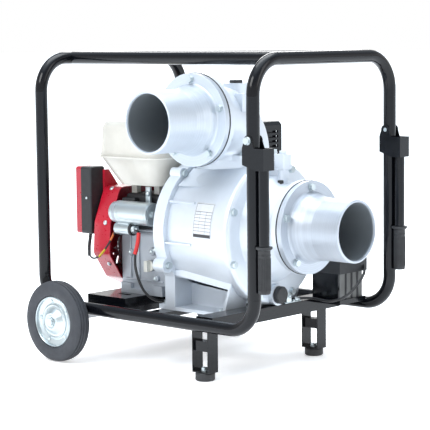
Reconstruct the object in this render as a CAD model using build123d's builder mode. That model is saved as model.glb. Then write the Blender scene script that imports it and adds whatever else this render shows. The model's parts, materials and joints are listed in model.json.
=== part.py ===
from build123d import *
import math
import os

# Gas engine trash pump: 6 in self-priming pump and single-cylinder petrol engine in a wheeled tube frame.
# Millimetres. +X runs along the shaft towards the suction port, -Y is the discharge side, +Z is up.
# The origin is on the ground, under the middle of the overall box.

# ---- Driving dimensions -----------------------------------------------------------------------
TUBE_R = 15.9  # frame tube, 1 1/4 in
TUBE_WALL = 2.3
REAR_X = -403.5  # hoop over the wheels
FRONT_X = 321.5  # hoop at the suction end
SIDE_Y = 262.5  # posts and bottom rails
RAIL_Z = 137.0
TOP_Z = 772.0
TOP_BEND = 85.0
LOW_BEND = 76.0
POST_FOOT_Z = RAIL_Z + 78.0
TOP_RAIL_Y = 152.5

BAR_TOP = 135.0  # bed bars between the rails
PLATE_TOP = 162.0  # engine platform
WHEEL_X = -308.5
WHEEL_R = 104.0
WHEEL_Y = 307.5
WHEEL_W = 45.0
AXLE_R = 8.0
FOOT_X = 146.5
FOOT_YS = (-244.5, 171.5)

DRUM_Z = 336.0  # pump drum axis
DRUM_BACK = -66.0
DRUM_FRONT = 143.5
COVER_FACE = 161.5
DRUM_R = 181.0
DRUM_WALL = 9.0
SHELL_BACK_R = 164.0
SHAFT_Z = 268.0  # crankshaft and impeller axis
PORT_R = 76.2  # 6 in hose tail
BORE_R = 69.0
FLANGE_R = 115.0
BOLT_CIRCLE = 100.0
SUCTION_Z = 357.0
SUCTION_FACE = 278.5
SUCTION_MOUTH = 419.5
DISCHARGE_X = 36.5
DISCHARGE_Z = 621.0
DISCHARGE_FACE = -166.5
DISCHARGE_MOUTH = -319.5
NECK_TOP = 517.0
BOLT_R = 5.0  # M10

PIVOT_Z = 586.0
ARM_X = FRONT_X + 31.0
ARM_R = 12.7
RUN_FIT = 0.05
GAP = 0.4

X_DIR = (1, 0, 0)
Y_DIR = (0, 1, 0)
Z_DIR = (0, 0, 1)

os.makedirs("parts", exist_ok=True)


# ---- Shared steps -----------------------------------------------------------------------------
def save(builder, label):
    builder.part.label = label
    export_step(builder.part, f"parts/{label}.step")


def facing(x, y, z, normal, x_dir=None):
    return Plane((x, y, z), x_dir=x_dir, z_dir=normal)


def turn(outline, centre, along, mode=Mode.ADD):
    """Revolve an outline of (distance along the axis, radius) points about an axis through centre."""
    side = Vector(0, -1, 0) if abs(along[1]) < 0.5 else Vector(1, 0, 0)
    with BuildSketch(Plane(centre, x_dir=along, z_dir=side)) as profile:
        Polygon(*outline, align=None)
    revolve(profile.sketch, axis=Axis(centre, along), mode=mode)


def drum_of(x0, x1, radius, y, z, mode=Mode.ADD):
    """A plain cylinder along X."""
    with BuildSketch(facing(x0, y, z, X_DIR)) as profile:
        Circle(radius)
    extrude(profile.sketch, amount=x1 - x0, mode=mode)


def block(x0, x1, y0, y1, z0, z1, mode=Mode.ADD):
    with Locations(((x0 + x1) / 2, (y0 + y1) / 2, (z0 + z1) / 2)):
        Box(x1 - x0, y1 - y0, z1 - z0, mode=mode)


def hex_bolt(plane, shank, nut_at=None):
    """M10 bolt whose head sits on the plane, with its shank behind it and perhaps a nut."""
    with BuildSketch(plane) as washer:
        Circle(BOLT_R * 1.95)
    extrude(washer.sketch, amount=2)
    with BuildSketch(plane.offset(2)) as head:
        RegularPolygon(radius=BOLT_R * 1.75, side_count=6)
    extrude(head.sketch, amount=6.4)
    with BuildSketch(plane) as stem:
        Circle(BOLT_R)
    extrude(stem.sketch, amount=-shank)
    if nut_at:
        with BuildSketch(plane.offset(-nut_at)) as nut:
            RegularPolygon(radius=BOLT_R * 1.75, side_count=6)
        extrude(nut.sketch, amount=-8)


def drill(plane, depth, radius=BOLT_R + 0.3):
    with BuildSketch(plane) as hole:
        Circle(radius)
    extrude(hole.sketch, amount=-depth, mode=Mode.SUBTRACT)


def bent_tube(points, radius, bend, wall=TUBE_WALL):
    """Tube swept along straight runs joined by equal bends."""
    with BuildLine() as route:
        FilletPolyline(*points, radius=bend)
    with BuildSketch(Plane(points[0], z_dir=route.line % 0)) as section:
        Circle(radius)
        Circle(radius - wall, mode=Mode.SUBTRACT)
    sweep(section.sketch, path=route.line)


# ---- Tube frame -------------------------------------------------------------------------------
def make_hoop(x, label, pivots):
    with BuildPart() as hoop:
        bent_tube(
            [(x, -SIDE_Y, POST_FOOT_Z), (x, -SIDE_Y, TOP_Z), (x, SIDE_Y, TOP_Z), (x, SIDE_Y, POST_FOOT_Z)],
            TUBE_R, TOP_BEND,
        )
        if pivots:
            for y in (-SIDE_Y, SIDE_Y):
                with BuildSketch(facing(x, y - 30, PIVOT_Z, Y_DIR)):
                    Circle(BOLT_R)
                extrude(amount=60, mode=Mode.SUBTRACT)
    save(hoop, label)


make_hoop(REAR_X, "hoop_rear", False)
make_hoop(FRONT_X, "hoop_front", True)

for side, name in ((-1, "rail_near"), (1, "rail_far")):
    y = side * SIDE_Y
    with BuildPart() as rail:
        bent_tube(
            [(REAR_X, y, POST_FOOT_Z), (REAR_X, y, RAIL_Z), (FRONT_X, y, RAIL_Z), (FRONT_X, y, POST_FOOT_Z)],
            TUBE_R, LOW_BEND,
        )
    save(rail, name)

with BuildPart() as top_rails:
    for y in (-TOP_RAIL_Y, TOP_RAIL_Y):
        with BuildSketch(facing(REAR_X, y, TOP_Z, X_DIR)):
            Circle(TUBE_R)
            Circle(TUBE_R - TUBE_WALL, mode=Mode.SUBTRACT)
        extrude(amount=FRONT_X - REAR_X)
    for x in (REAR_X, FRONT_X):
        with BuildSketch(facing(x, -SIDE_Y, TOP_Z, Y_DIR)):
            Circle(TUBE_R)
        extrude(amount=2 * SIDE_Y, mode=Mode.SUBTRACT)
save(top_rails, "top_rails")

# Bars between the rails under the engine and the pump, and the two axle hangers under the rails.
BAR_HALF_Y = 247.0
BAR_W = 50.0
STUD_X = 92.0
BAR_H = 14.0
BAR_XS = (-282.0, -194.0, -76.0, 92.0)
HANGER_Y = (252.0, 280.0)
with BuildPart() as frame_weldments:
    for x in BAR_XS:
        block(x - BAR_W / 2, x + BAR_W / 2, -BAR_HALF_Y, BAR_HALF_Y, BAR_TOP - BAR_H, BAR_TOP)
    for side in (-1, 1):
        y_a, y_b = sorted((side * HANGER_Y[0], side * HANGER_Y[1]))
        block(WHEEL_X - 20, WHEEL_X + 20, y_a, y_b, 88, RAIL_Z)
    for side in (-1, 1):
        drum_of(REAR_X, FRONT_X, TUBE_R, side * SIDE_Y, RAIL_Z, mode=Mode.SUBTRACT)
    with BuildSketch(facing(WHEEL_X, -300, WHEEL_R, Y_DIR)):
        Circle(AXLE_R)
    extrude(amount=600, mode=Mode.SUBTRACT)
    for y in (-120, 120):
        for x in (-98.5, STUD_X):
            drill(facing(x, y, BAR_TOP, Z_DIR), 14)
save(frame_weldments, "frame_weldments")

# Folded engine platform with its four slots.
PLATE_X = (-306.5, -168.5)
PLATE_Y = 202.5
PLATE_WALL = 3.0
with BuildPart() as engine_platform:
    block(*PLATE_X, -PLATE_Y, PLATE_Y, BAR_TOP, PLATE_TOP)
    block(
        PLATE_X[0] + PLATE_WALL, PLATE_X[1] - PLATE_WALL, -PLATE_Y + PLATE_WALL, PLATE_Y - PLATE_WALL,
        BAR_TOP, PLATE_TOP - PLATE_WALL, mode=Mode.SUBTRACT,
    )
    with BuildSketch(Plane.XY.offset(PLATE_TOP)):
        with Locations((-222, -150), (-222, 150)):
            SlotOverall(44, 13)
    extrude(amount=-10, mode=Mode.SUBTRACT)
save(engine_platform, "engine_platform")

# Channel across the front of the frame, over the two support feet.
CHANNEL_HALF = 26.5
CHANNEL_Z = (121.0, 154.0)
CHANNEL_WALL = 3.0
CABLE_HOLE = (39.5, 139.0)
with BuildPart() as front_crossmember:
    with BuildSketch(facing(FOOT_X, -246.6, 0, Y_DIR, x_dir=X_DIR)):
        with BuildLine():
            Polyline(
                (-CHANNEL_HALF, -CHANNEL_Z[0]), (-CHANNEL_HALF, -CHANNEL_Z[1]),
                (CHANNEL_HALF, -CHANNEL_Z[1]), (CHANNEL_HALF, -CHANNEL_Z[0]),
                (CHANNEL_HALF - CHANNEL_WALL, -CHANNEL_Z[0]),
                (CHANNEL_HALF - CHANNEL_WALL, CHANNEL_WALL - CHANNEL_Z[1]),
                (CHANNEL_WALL - CHANNEL_HALF, CHANNEL_WALL - CHANNEL_Z[1]),
                (CHANNEL_WALL - CHANNEL_HALF, -CHANNEL_Z[0]), close=True,
            )
        make_face()
    extrude(amount=493.2)
    drum_of(FOOT_X - 40, FOOT_X, 7, CABLE_HOLE[0], CABLE_HOLE[1], mode=Mode.SUBTRACT)
    block(130, 168, 36, 88, CHANNEL_Z[1] - 10, CHANNEL_Z[1] + 1, mode=Mode.SUBTRACT)
save(front_crossmember, "front_crossmember")

STRAP_W = 35.0
PAD_H = 20.0
with BuildPart() as foot_brackets:
    for y in FOOT_YS:
        y_a, y_b = y - STRAP_W / 2, y + STRAP_W / 2
        block(FOOT_X - CHANNEL_HALF, FOOT_X + CHANNEL_HALF, y_a, y_b, PAD_H, CHANNEL_Z[0])
        inner = CHANNEL_HALF - CHANNEL_WALL
        block(FOOT_X - inner, FOOT_X + inner, y_a, y_b, PAD_H + 3, CHANNEL_Z[0], mode=Mode.SUBTRACT)
        block(FOOT_X - inner, FOOT_X + inner, y - 12, y + 12, 72, 97)
        drill(facing(FOOT_X, y, PAD_H + 3, Z_DIR), 3)
save(foot_brackets, "foot_brackets")

with BuildPart() as rubber_feet:
    for y in FOOT_YS:
        turn([(0, 0), (0, 21), (3, 24), (17, 24), (PAD_H, 22.5), (PAD_H, 0)], (FOOT_X, y, 0), Z_DIR)
        drill(facing(FOOT_X, y, PAD_H, Z_DIR), 13)
save(rubber_feet, "rubber_feet")


# ---- Wheels -----------------------------------------------------------------------------------
with BuildPart() as axle:
    with BuildSketch(facing(WHEEL_X, -331.3, WHEEL_R, Y_DIR)):
        Circle(AXLE_R)
    extrude(amount=662.6)
save(axle, "axle")

with BuildPart() as axle_caps:
    for side in (-1, 1):
        face = facing(WHEEL_X, side * 331.3, WHEEL_R, (0, side, 0))
        with BuildSketch(face):
            Circle(13)
        extrude(amount=2)
        with BuildSketch(face.offset(2)):
            Circle(10.5)
        extrude(amount=4.2, taper=12)
save(axle_caps, "axle_caps")

RIM_R = 64.0
for side, name in ((-1, "near"), (1, "far")):
    centre = (WHEEL_X, side * WHEEL_Y, WHEEL_R)
    half = WHEEL_W / 2
    with BuildPart() as tyre:
        turn(
            [
                (-half + 4, RIM_R), (-half + 1, RIM_R + 8), (-half, RIM_R + 20), (-half + 4, WHEEL_R - 9),
                (-half + 11, WHEEL_R - 2), (0, WHEEL_R), (half - 11, WHEEL_R - 2), (half - 4, WHEEL_R - 9),
                (half, RIM_R + 20), (half - 1, RIM_R + 8), (half - 4, RIM_R), (half - 8, RIM_R + 3),
                (-half + 8, RIM_R + 3),
            ],
            centre, Y_DIR,
        )
    save(tyre, f"tyre_{name}")
    with BuildPart() as rim:
        turn(
            [
                (-18.3, RIM_R - 0.4), (-12, RIM_R - 3), (-9, 48), (-13, 34), (-23.4, 22),
                (-23.4, AXLE_R + RUN_FIT), (23.4, AXLE_R + RUN_FIT), (23.4, 22), (13, 34), (9, 48),
                (12, RIM_R - 3), (18.3, RIM_R - 0.4), (14.5, RIM_R + 2.9), (-14.5, RIM_R + 2.9),
            ],
            centre, Y_DIR,
        )
    save(rim, f"rim_{name}")


# ---- Swing handles on the front posts ---------------------------------------------------------
PLATE_IN = TUBE_R + GAP
GRIP_Z = (232.0, 342.0)
GRIP_R = 14.6
for side, name in ((-1, "near"), (1, "far")):
    y = side * SIDE_Y
    with BuildPart() as arm:
        for face_y in (y - PLATE_IN - 3, y + PLATE_IN):
            with BuildSketch(facing(FRONT_X, face_y, 0, Y_DIR, x_dir=X_DIR)):
                with Locations((0, -PIVOT_Z)):
                    Circle(12.5)
                Polygon((-18, -569), (46.5, -569), (46.5, -518), (20, -518), (-18, -530), align=None)
                Polygon((-12, -586), (12, -586), (18, -569), (-18, -569), align=None)
                with Locations((0, -PIVOT_Z)):
                    Circle(BOLT_R + RUN_FIT, mode=Mode.SUBTRACT)
            extrude(amount=3)
        block(FRONT_X + 43.7, FRONT_X + 46.5, y - PLATE_IN, y + PLATE_IN, 518, 569)
        with BuildSketch(Plane((ARM_X, y, GRIP_Z[0] + 4))):
            Circle(ARM_R)
            Circle(ARM_R - 2.2, mode=Mode.SUBTRACT)
        extrude(amount=550 - GRIP_Z[0] - 4)
        block(ARM_X - 6, ARM_X + 12.9, y - PLATE_IN, y - 11.5, 522, 548)
        block(ARM_X - 6, ARM_X + 12.9, y + 11.5, y + PLATE_IN, 522, 548)
        with BuildSketch(Plane((ARM_X, y, 505))):
            Circle(ARM_R - 2.2)
        extrude(amount=50, mode=Mode.SUBTRACT)
    save(arm, f"handle_arm_{name}")
    with BuildPart() as grip:
        turn(
            [
                (0, 0), (0, GRIP_R - 2), (2, GRIP_R), (102, GRIP_R), (105, 19.5), (110, 19.5),
                (110, ARM_R), (4, ARM_R), (4, 0),
            ],
            (ARM_X, y, GRIP_Z[0]), Z_DIR,
        )
        with BuildSketch(Plane((FRONT_X, y, GRIP_Z[0] - 5))):
            Circle(TUBE_R + 0.35)
        extrude(amount=125, mode=Mode.SUBTRACT)
    save(grip, f"handle_grip_{name}")


# ---- Pump -------------------------------------------------------------------------------------
def polar_yz(degrees, radius):
    """A place on the drum face, its angle counted up from the discharge side."""
    a = math.radians(degrees)
    return -radius * math.cos(a), DRUM_Z + radius * math.sin(a)


LOBES = ((55, 177.5, 14), (-27, 183.0, 19), (125, 177.5, 14), (207, 183.0, 19))
LOBE_PLACES = [polar_yz(*lobe[:2]) for lobe in LOBES]
COVER_ANGLES = range(0, 360, 45)
COVER_PLACES = [polar_yz(a + 22.5, 168.0) for a in COVER_ANGLES]
FOOT_STUD_YS = (-120, 120)
NECK_HALF = (85.0, 69.0)
NECK_STUDS = [(DISCHARGE_X + sx * 74, sy * 58) for sx in (-1, 1) for sy in (-1, 1)]


def lobed_disc(x0, x1, radius):
    with BuildSketch(facing(x0, 0, DRUM_Z, X_DIR, x_dir=Y_DIR)) as outline:
        Circle(radius)
        for (y, z), lobe in zip(LOBE_PLACES, LOBES):
            with Locations((y, z - DRUM_Z)):
                Circle(lobe[2])
    extrude(outline.sketch, amount=x1 - x0)


def neck_block(z0, z1, inset, mode=Mode.ADD):
    with BuildSketch(Plane((DISCHARGE_X, 0, z0))) as section:
        RectangleRounded(2 * (NECK_HALF[0] - inset), 2 * (NECK_HALF[1] - inset), 18 - inset)
    extrude(section.sketch, amount=z1 - z0, mode=mode)


with BuildPart() as pump_drum:
    lobed_disc(DRUM_BACK, DRUM_BACK + 14, 179)
    turn(
        [(DRUM_BACK, 0), (DRUM_BACK, SHELL_BACK_R), (DRUM_FRONT, 180), (DRUM_FRONT, 0)],
        (0, 0, DRUM_Z), X_DIR,
    )
    neck_block(430, NECK_TOP, 0)
    # Skirt where the neck meets the drum.
    with BuildSketch(facing(DISCHARGE_X - 85, 0, 0, X_DIR, x_dir=Y_DIR)):
        Polygon((-128, 452), (-70, 492), (70, 492), (128, 452), align=None)
    extrude(amount=170)
    # Two cast feet, open boxes towards their own side.
    for side in (-1, 1):
        y_out, y_in = side * 137.5, side * 62
        with BuildSketch(facing(0, y_in, 0, (0, side, 0), x_dir=X_DIR)):
            flip = -side
            Polygon(
                (-66, flip * BAR_TOP), (114, flip * BAR_TOP), (119, flip * 158), (143.5, flip * 240),
                (-66, flip * 240), align=None,
            )
        extrude(amount=75.5)
        with BuildSketch(facing(0, y_out, 0, (0, side, 0), x_dir=X_DIR)):
            Polygon(
                (-54, flip * (BAR_TOP + 9)), (106, flip * (BAR_TOP + 9)), (126, flip * 205),
                (-54, flip * 226), align=None,
            )
        extrude(amount=-62, mode=Mode.SUBTRACT)
    # Short ribs on the shell.
    for angle in (27, -8, -41, 153, 188, 221):
        y, z = polar_yz(angle, 165)
        with BuildSketch(Plane((DRUM_BACK, y, z), x_dir=X_DIR, z_dir=(0, y, z - DRUM_Z))):
            Rectangle(100, 5, align=(Align.MIN, Align.CENTER))
        extrude(amount=10)
    # Hollow inside, open at both ends and up the neck.
    turn(
        [
            (DRUM_BACK, 0), (DRUM_BACK, SHELL_BACK_R - DRUM_WALL), (DRUM_FRONT, 180 - DRUM_WALL),
            (DRUM_FRONT, 0),
        ],
        (0, 0, DRUM_Z), X_DIR, mode=Mode.SUBTRACT,
    )
    neck_block(400, NECK_TOP, 14, mode=Mode.SUBTRACT)
    for y, z in LOBE_PLACES:
        drill(facing(DRUM_BACK + 14, y, z, X_DIR), 14)
    for y, z in COVER_PLACES:
        drill(facing(DRUM_FRONT, y, z, X_DIR), 10)
    for y in FOOT_STUD_YS:
        drill(facing(STUD_X, y, BAR_TOP + 9, Z_DIR), 9)
    for x, y in NECK_STUDS:
        drill(facing(x, y, NECK_TOP, Z_DIR), 20)
save(pump_drum, "pump_drum")

SEAL_R = 30.0
with BuildPart() as rear_plate:
    lobed_disc(DRUM_BACK - 22, DRUM_BACK, 179)
    drum_of(-104, DRUM_BACK - 22, 86, 0, SHAFT_Z)
    for side in (-1, 1):
        y_a, y_b = sorted((side * 62, side * 137.5))
        block(DRUM_BACK - 22, DRUM_BACK, y_a, y_b, BAR_TOP, 240)
        y_a, y_b = sorted((side * 104, side * 137.5))
        block(-110, DRUM_BACK - 22, y_a, y_b, BAR_TOP, BAR_TOP + 12)
    drum_of(-104, DRUM_BACK, SEAL_R, 0, SHAFT_Z, mode=Mode.SUBTRACT)
    for y, z in LOBE_PLACES:
        drill(facing(DRUM_BACK, y, z, X_DIR), 22)
    for y in FOOT_STUD_YS:
        drill(facing(-98.5, y, BAR_TOP + 12, Z_DIR), 12)
save(rear_plate, "rear_plate")

CHAMBER_BACK = COVER_FACE
CHAMBER_END = 246.5
VALVE_FACE = 239.0
HINGE = (232.5, 0, 427.0)
PIN_R = 3.0
BARREL_R = 6.1
DRAIN_AT = (174.0, -1.0, 181.0)
with BuildPart() as front_cover:
    turn(
        [
            (DRUM_FRONT, 0), (DRUM_FRONT, DRUM_R), (151, DRUM_R), (157, 178.5), (160.4, 174),
            (COVER_FACE, 168), (COVER_FACE, 0),
        ],
        (0, 0, DRUM_Z), X_DIR,
    )
    with BuildSketch(facing(CHAMBER_BACK, 0, 346, X_DIR)):
        Circle(133)
    with BuildSketch(facing(236, 0, SUCTION_Z, X_DIR)):
        Circle(89)
    loft()
    drum_of(236, CHAMBER_END, 89, 0, SUCTION_Z)
    drum_of(CHAMBER_END, 261.5, FLANGE_R, 0, SUCTION_Z)
    # Vent stem and its square head on top of the suction chamber.
    with BuildSketch(Plane((190, 0, 440))):
        Circle(13)
    extrude(amount=56)
    with BuildSketch(Plane((190, 0, 496))):
        RectangleRounded(31, 31, 4)
    extrude(amount=38)
    with BuildSketch(Plane((190, 0, 534))):
        RegularPolygon(radius=9.5, side_count=6)
    extrude(amount=8)
    drum_of(COVER_FACE - 2, DRAIN_AT[0], 27, DRAIN_AT[1], DRAIN_AT[2])
    # Chamber inside, and the bore through the flange.
    with BuildSketch(facing(DRUM_FRONT, 0, 346, X_DIR)):
        Circle(125)
    with BuildSketch(facing(VALVE_FACE, 0, SUCTION_Z, X_DIR)):
        Circle(82)
    loft(mode=Mode.SUBTRACT)
    drum_of(VALVE_FACE, 262, BORE_R, 0, SUCTION_Z, mode=Mode.SUBTRACT)
    # Hinge ears and pin for the clack valve.
    for side in (-1, 1):
        y_a, y_b = sorted((side * 30, side * 37))
        block(227, VALVE_FACE + 3, y_a, y_b, 424, 437)
    with BuildSketch(facing(HINGE[0], -34, HINGE[2], Y_DIR)):
        Circle(PIN_R)
    extrude(amount=68)
    for y, z in COVER_PLACES:
        drill(facing(COVER_FACE + 1, y, z, X_DIR), 30)
    for k in range(5):
        a = math.radians(90 + 72 * k)
        drill(facing(261.5, BOLT_CIRCLE * math.cos(a), SUCTION_Z + BOLT_CIRCLE * math.sin(a), X_DIR), 15)
    drum_of(150, 175, 14, DRAIN_AT[1], DRAIN_AT[2], mode=Mode.SUBTRACT)
save(front_cover, "front_cover")

with BuildPart() as valve_flap:
    drum_of(VALVE_FACE - 7.4, VALVE_FACE - GAP, 75, 0, SUCTION_Z)
    block(220, 250, -80, 80, 421, 440, mode=Mode.SUBTRACT)
    block(VALVE_FACE - 7.4, VALVE_FACE - GAP, -27, 27, 415, HINGE[2])
    with BuildSketch(facing(HINGE[0], -27, HINGE[2], Y_DIR)):
        Circle(BARREL_R)
    extrude(amount=54)
    with BuildSketch(facing(HINGE[0], -40, HINGE[2], Y_DIR)):
        Circle(PIN_R + RUN_FIT)
    extrude(amount=80, mode=Mode.SUBTRACT)
save(valve_flap, "valve_flap")


def hose_tail(face, direction, mouth):
    """Flanged hose tail; distances run from the flange face towards the mouth."""
    centre = face
    turn(
        [
            (-14, BORE_R), (-14, FLANGE_R), (0, FLANGE_R), (0, 90), (2.5, 87.5), (7, 86), (14, 84.5),
            (22, 82), (36, 79), (60, PORT_R), (mouth - 2, PORT_R), (mouth, PORT_R - 2), (mouth, BORE_R + 2),
            (mouth - 6, BORE_R),
        ],
        centre, direction,
    )


with BuildPart() as suction_tail:
    hose_tail((SUCTION_FACE, 0, SUCTION_Z), X_DIR, SUCTION_MOUTH - SUCTION_FACE)
    for k in range(5):
        a = math.radians(90 + 72 * k)
        y, z = BOLT_CIRCLE * math.cos(a), SUCTION_Z + BOLT_CIRCLE * math.sin(a)
        drill(facing(SUCTION_FACE, y, z, X_DIR), 14)
save(suction_tail, "suction_tail")

DISCHARGE_PLACES = [
    (DISCHARGE_X + BOLT_CIRCLE * math.cos(math.radians(90 + 72 * k)),
     DISCHARGE_Z + BOLT_CIRCLE * math.sin(math.radians(90 + 72 * k)))
    for k in range(5)
]
SUCTION_PLACES = [
    (BOLT_CIRCLE * math.cos(math.radians(90 + 72 * k)),
     SUCTION_Z + BOLT_CIRCLE * math.sin(math.radians(90 + 72 * k)))
    for k in range(5)
]
with BuildPart() as discharge_tail:
    hose_tail((DISCHARGE_X, DISCHARGE_FACE, DISCHARGE_Z), (0, -1, 0), DISCHARGE_FACE - DISCHARGE_MOUTH)
    for x, z in DISCHARGE_PLACES:
        drill(facing(x, DISCHARGE_FACE, z, (0, -1, 0)), 14)
save(discharge_tail, "discharge_tail")

ELBOW_BEND = 92.0
ELBOW_R = 83.0
CAP_Z = 707.0
with BuildPart() as discharge_elbow:
    neck_block(NECK_TOP, NECK_TOP + 14, 0)
    with BuildLine() as bend_line:
        FilletPolyline(
            (DISCHARGE_X, 0, NECK_TOP), (DISCHARGE_X, 0, DISCHARGE_Z), (DISCHARGE_X, -149.5, DISCHARGE_Z),
            radius=ELBOW_BEND,
        )
    with BuildSketch(Plane((DISCHARGE_X, 0, NECK_TOP))):
        Circle(ELBOW_R)
    sweep(path=bend_line.line)
    with BuildSketch(facing(DISCHARGE_X, -149.5, DISCHARGE_Z, Y_DIR)):
        Circle(FLANGE_R)
    extrude(amount=15)
    with BuildSketch(Plane((DISCHARGE_X, 0, 600))):
        Circle(33)
    extrude(amount=CAP_Z - 600)
    block(95, 121, -72, -48, 640, 684)
    with BuildSketch(Plane((DISCHARGE_X, 0, NECK_TOP))):
        RectangleRounded(142, 110, 4)
    with BuildSketch(Plane((DISCHARGE_X, 0, NECK_TOP + 12))):
        Circle(60)
    loft(mode=Mode.SUBTRACT)
    with BuildSketch(Plane((DISCHARGE_X, 0, NECK_TOP))):
        Circle(72)
    sweep(path=bend_line.line, mode=Mode.SUBTRACT)
    with BuildSketch(Plane((DISCHARGE_X, 0, 640))):
        Circle(14)
    extrude(amount=80, mode=Mode.SUBTRACT)
    for x, z in DISCHARGE_PLACES:
        drill(facing(x, -149.5, z, (0, -1, 0)), 15)
    for x, y in NECK_STUDS:
        drill(facing(x, y, NECK_TOP + 14, Z_DIR), 14)
save(discharge_elbow, "discharge_elbow")

with BuildPart() as gaskets:
    with BuildSketch(facing(261.5, 0, SUCTION_Z, X_DIR)):
        Circle(FLANGE_R - 1)
        Circle(BORE_R + 1, mode=Mode.SUBTRACT)
    extrude(amount=3)
    with BuildSketch(facing(DISCHARGE_X, -149.5, DISCHARGE_Z, (0, -1, 0))):
        Circle(FLANGE_R - 1)
        Circle(BORE_R + 1, mode=Mode.SUBTRACT)
    extrude(amount=3)
    for y, z in SUCTION_PLACES:
        drill(facing(264.5, y, z, X_DIR), 3)
    for x, z in DISCHARGE_PLACES:
        drill(facing(x, -152.5, z, (0, -1, 0)), 3)
save(gaskets, "gaskets")

with BuildPart() as priming_cap:
    turn([(0.3, 0), (0.3, 16.7), (6, 16.7), (8, 15), (8, 0)], (DISCHARGE_X, 0, CAP_Z), Z_DIR)
    turn([(0.4, 0), (-20, 0), (-20, 13.9), (0.4, 13.9)], (DISCHARGE_X, 0, CAP_Z), Z_DIR)
save(priming_cap, "priming_cap")

with BuildPart() as drain_cap:
    turn([(0.3, 0), (0.3, 22), (11, 22), (14, 19), (14, 0)], DRAIN_AT, X_DIR)
    turn([(0.4, 0), (-10, 0), (-10, 13.9), (0.4, 13.9)], DRAIN_AT, X_DIR)
save(drain_cap, "drain_cap")

# Volute round the impeller, open at the back against the rear plate, eye in its front wall.
VOLUTE_R = 86.0
EYE_R = 50.0
with BuildPart() as volute:
    drum_of(DRUM_BACK, 50, VOLUTE_R, 0, SHAFT_Z)
    drum_of(DRUM_BACK, 44, VOLUTE_R - 5, 0, SHAFT_Z, mode=Mode.SUBTRACT)
    drum_of(41, 51, EYE_R, 0, SHAFT_Z, mode=Mode.SUBTRACT)
    block(-40, 30, -34, 34, SHAFT_Z + 60, SHAFT_Z + 110, mode=Mode.SUBTRACT)
save(volute, "volute")

SHAFT_R = 12.5
with BuildPart() as impeller:
    drum_of(-34, -26, 78, 0, SHAFT_Z)
    drum_of(-34, 20, 22, 0, SHAFT_Z)
    for k in range(3):
        start = 120 * k
        with BuildSketch(facing(-27, 0, SHAFT_Z, X_DIR)):
            with BuildLine():
                inner = (16 * math.cos(math.radians(start)), 16 * math.sin(math.radians(start)))
                outer = (76 * math.cos(math.radians(start + 75)), 76 * math.sin(math.radians(start + 75)))
                SagittaArc(inner, outer, 22)
            trace(line_width=8)
        extrude(amount=60)
    drum_of(-60, 40, 79, 0, SHAFT_Z, mode=Mode.INTERSECT)
    drum_of(-40, 14, SHAFT_R, 0, SHAFT_Z, mode=Mode.SUBTRACT)
save(impeller, "impeller")

with BuildPart() as shaft_seal:
    drum_of(DRUM_BACK - 16, DRUM_BACK + 16, SEAL_R, 0, SHAFT_Z)
    drum_of(DRUM_BACK - 17, DRUM_BACK + 17, SHAFT_R + RUN_FIT, 0, SHAFT_Z, mode=Mode.SUBTRACT)
save(shaft_seal, "shaft_seal")


# ---- Engine -----------------------------------------------------------------------------------
CASE_X = (-268.0, -104.0)
CASE_Y = 112.0
CASE_TOP = 352.0
TILT = 25.0  # cylinder above horizontal, leaning to the far side
CYL = Vector(0, math.cos(math.radians(TILT)), math.sin(math.radians(TILT)))
CYL_X = -190.0
PISTON_R = 44.0


def along_cylinder(distance):
    foot = Vector(CYL_X, 0, SHAFT_Z) + CYL * distance
    return Plane(foot, x_dir=X_DIR, z_dir=CYL)


DIPSTICK = (-160.0, -CASE_Y, 238.0)
with BuildPart() as crankcase:
    block(*CASE_X, -CASE_Y, CASE_Y, PLATE_TOP + 12, CASE_TOP)
    edges_up = crankcase.part.edges().filter_by(Axis.X).group_by(Axis.Z)[-1]
    fillet(edges_up, 40)
    block(-262, -112, -124, 124, PLATE_TOP, PLATE_TOP + 12)
    drum_of(CASE_X[1] - 30, CASE_X[1], 96, 0, SHAFT_Z)
    # Foot castings, the oil filler boss and the starter mount.
    for side in (-1, 1):
        y_a, y_b = sorted((side * 100, side * 124))
        block(-262, -226, y_a, y_b, PLATE_TOP, PLATE_TOP + 26)
        block(-150, -114, y_a, y_b, PLATE_TOP, PLATE_TOP + 26)
    with BuildSketch(facing(*DIPSTICK, (0, -1, 0))):
        Circle(15)
    extrude(amount=8)
    block(-262, -236, -129, -100, 336, 376)
    drum_of(-262, -236, 27, -142.5, 375, mode=Mode.SUBTRACT)
    # Inside.
    block(-258, -124, -100, 100, PLATE_TOP + 22, 330, mode=Mode.SUBTRACT)
    drum_of(-290, -100, SHAFT_R + RUN_FIT, 0, SHAFT_Z, mode=Mode.SUBTRACT)
    with BuildSketch(along_cylinder(60)):
        Circle(PISTON_R + 8)
    extrude(amount=120, mode=Mode.SUBTRACT)
    with BuildSketch(facing(*DIPSTICK, (0, -1, 0))):
        Circle(9)
    extrude(amount=-14, mode=Mode.SUBTRACT)
    with BuildSketch(facing(*DIPSTICK, (0, -1, 0))):
        Circle(9)
    extrude(amount=9, mode=Mode.SUBTRACT)
    with BuildSketch(along_cylinder(112)):
        Rectangle(150, 200)
    extrude(amount=200, mode=Mode.SUBTRACT)
save(crankcase, "crankcase")

with BuildPart() as cylinder:
    with BuildSketch(along_cylinder(66)):
        Circle(PISTON_R + 7.7)
    extrude(amount=92)
    for k in range(5):
        with BuildSketch(along_cylinder(115 + 9 * k)):
            RectangleRounded(132, 150, 12)
        extrude(amount=3)
    with BuildSketch(along_cylinder(60)):
        Circle(PISTON_R + RUN_FIT)
    extrude(amount=110, mode=Mode.SUBTRACT)
save(cylinder, "cylinder")

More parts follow.
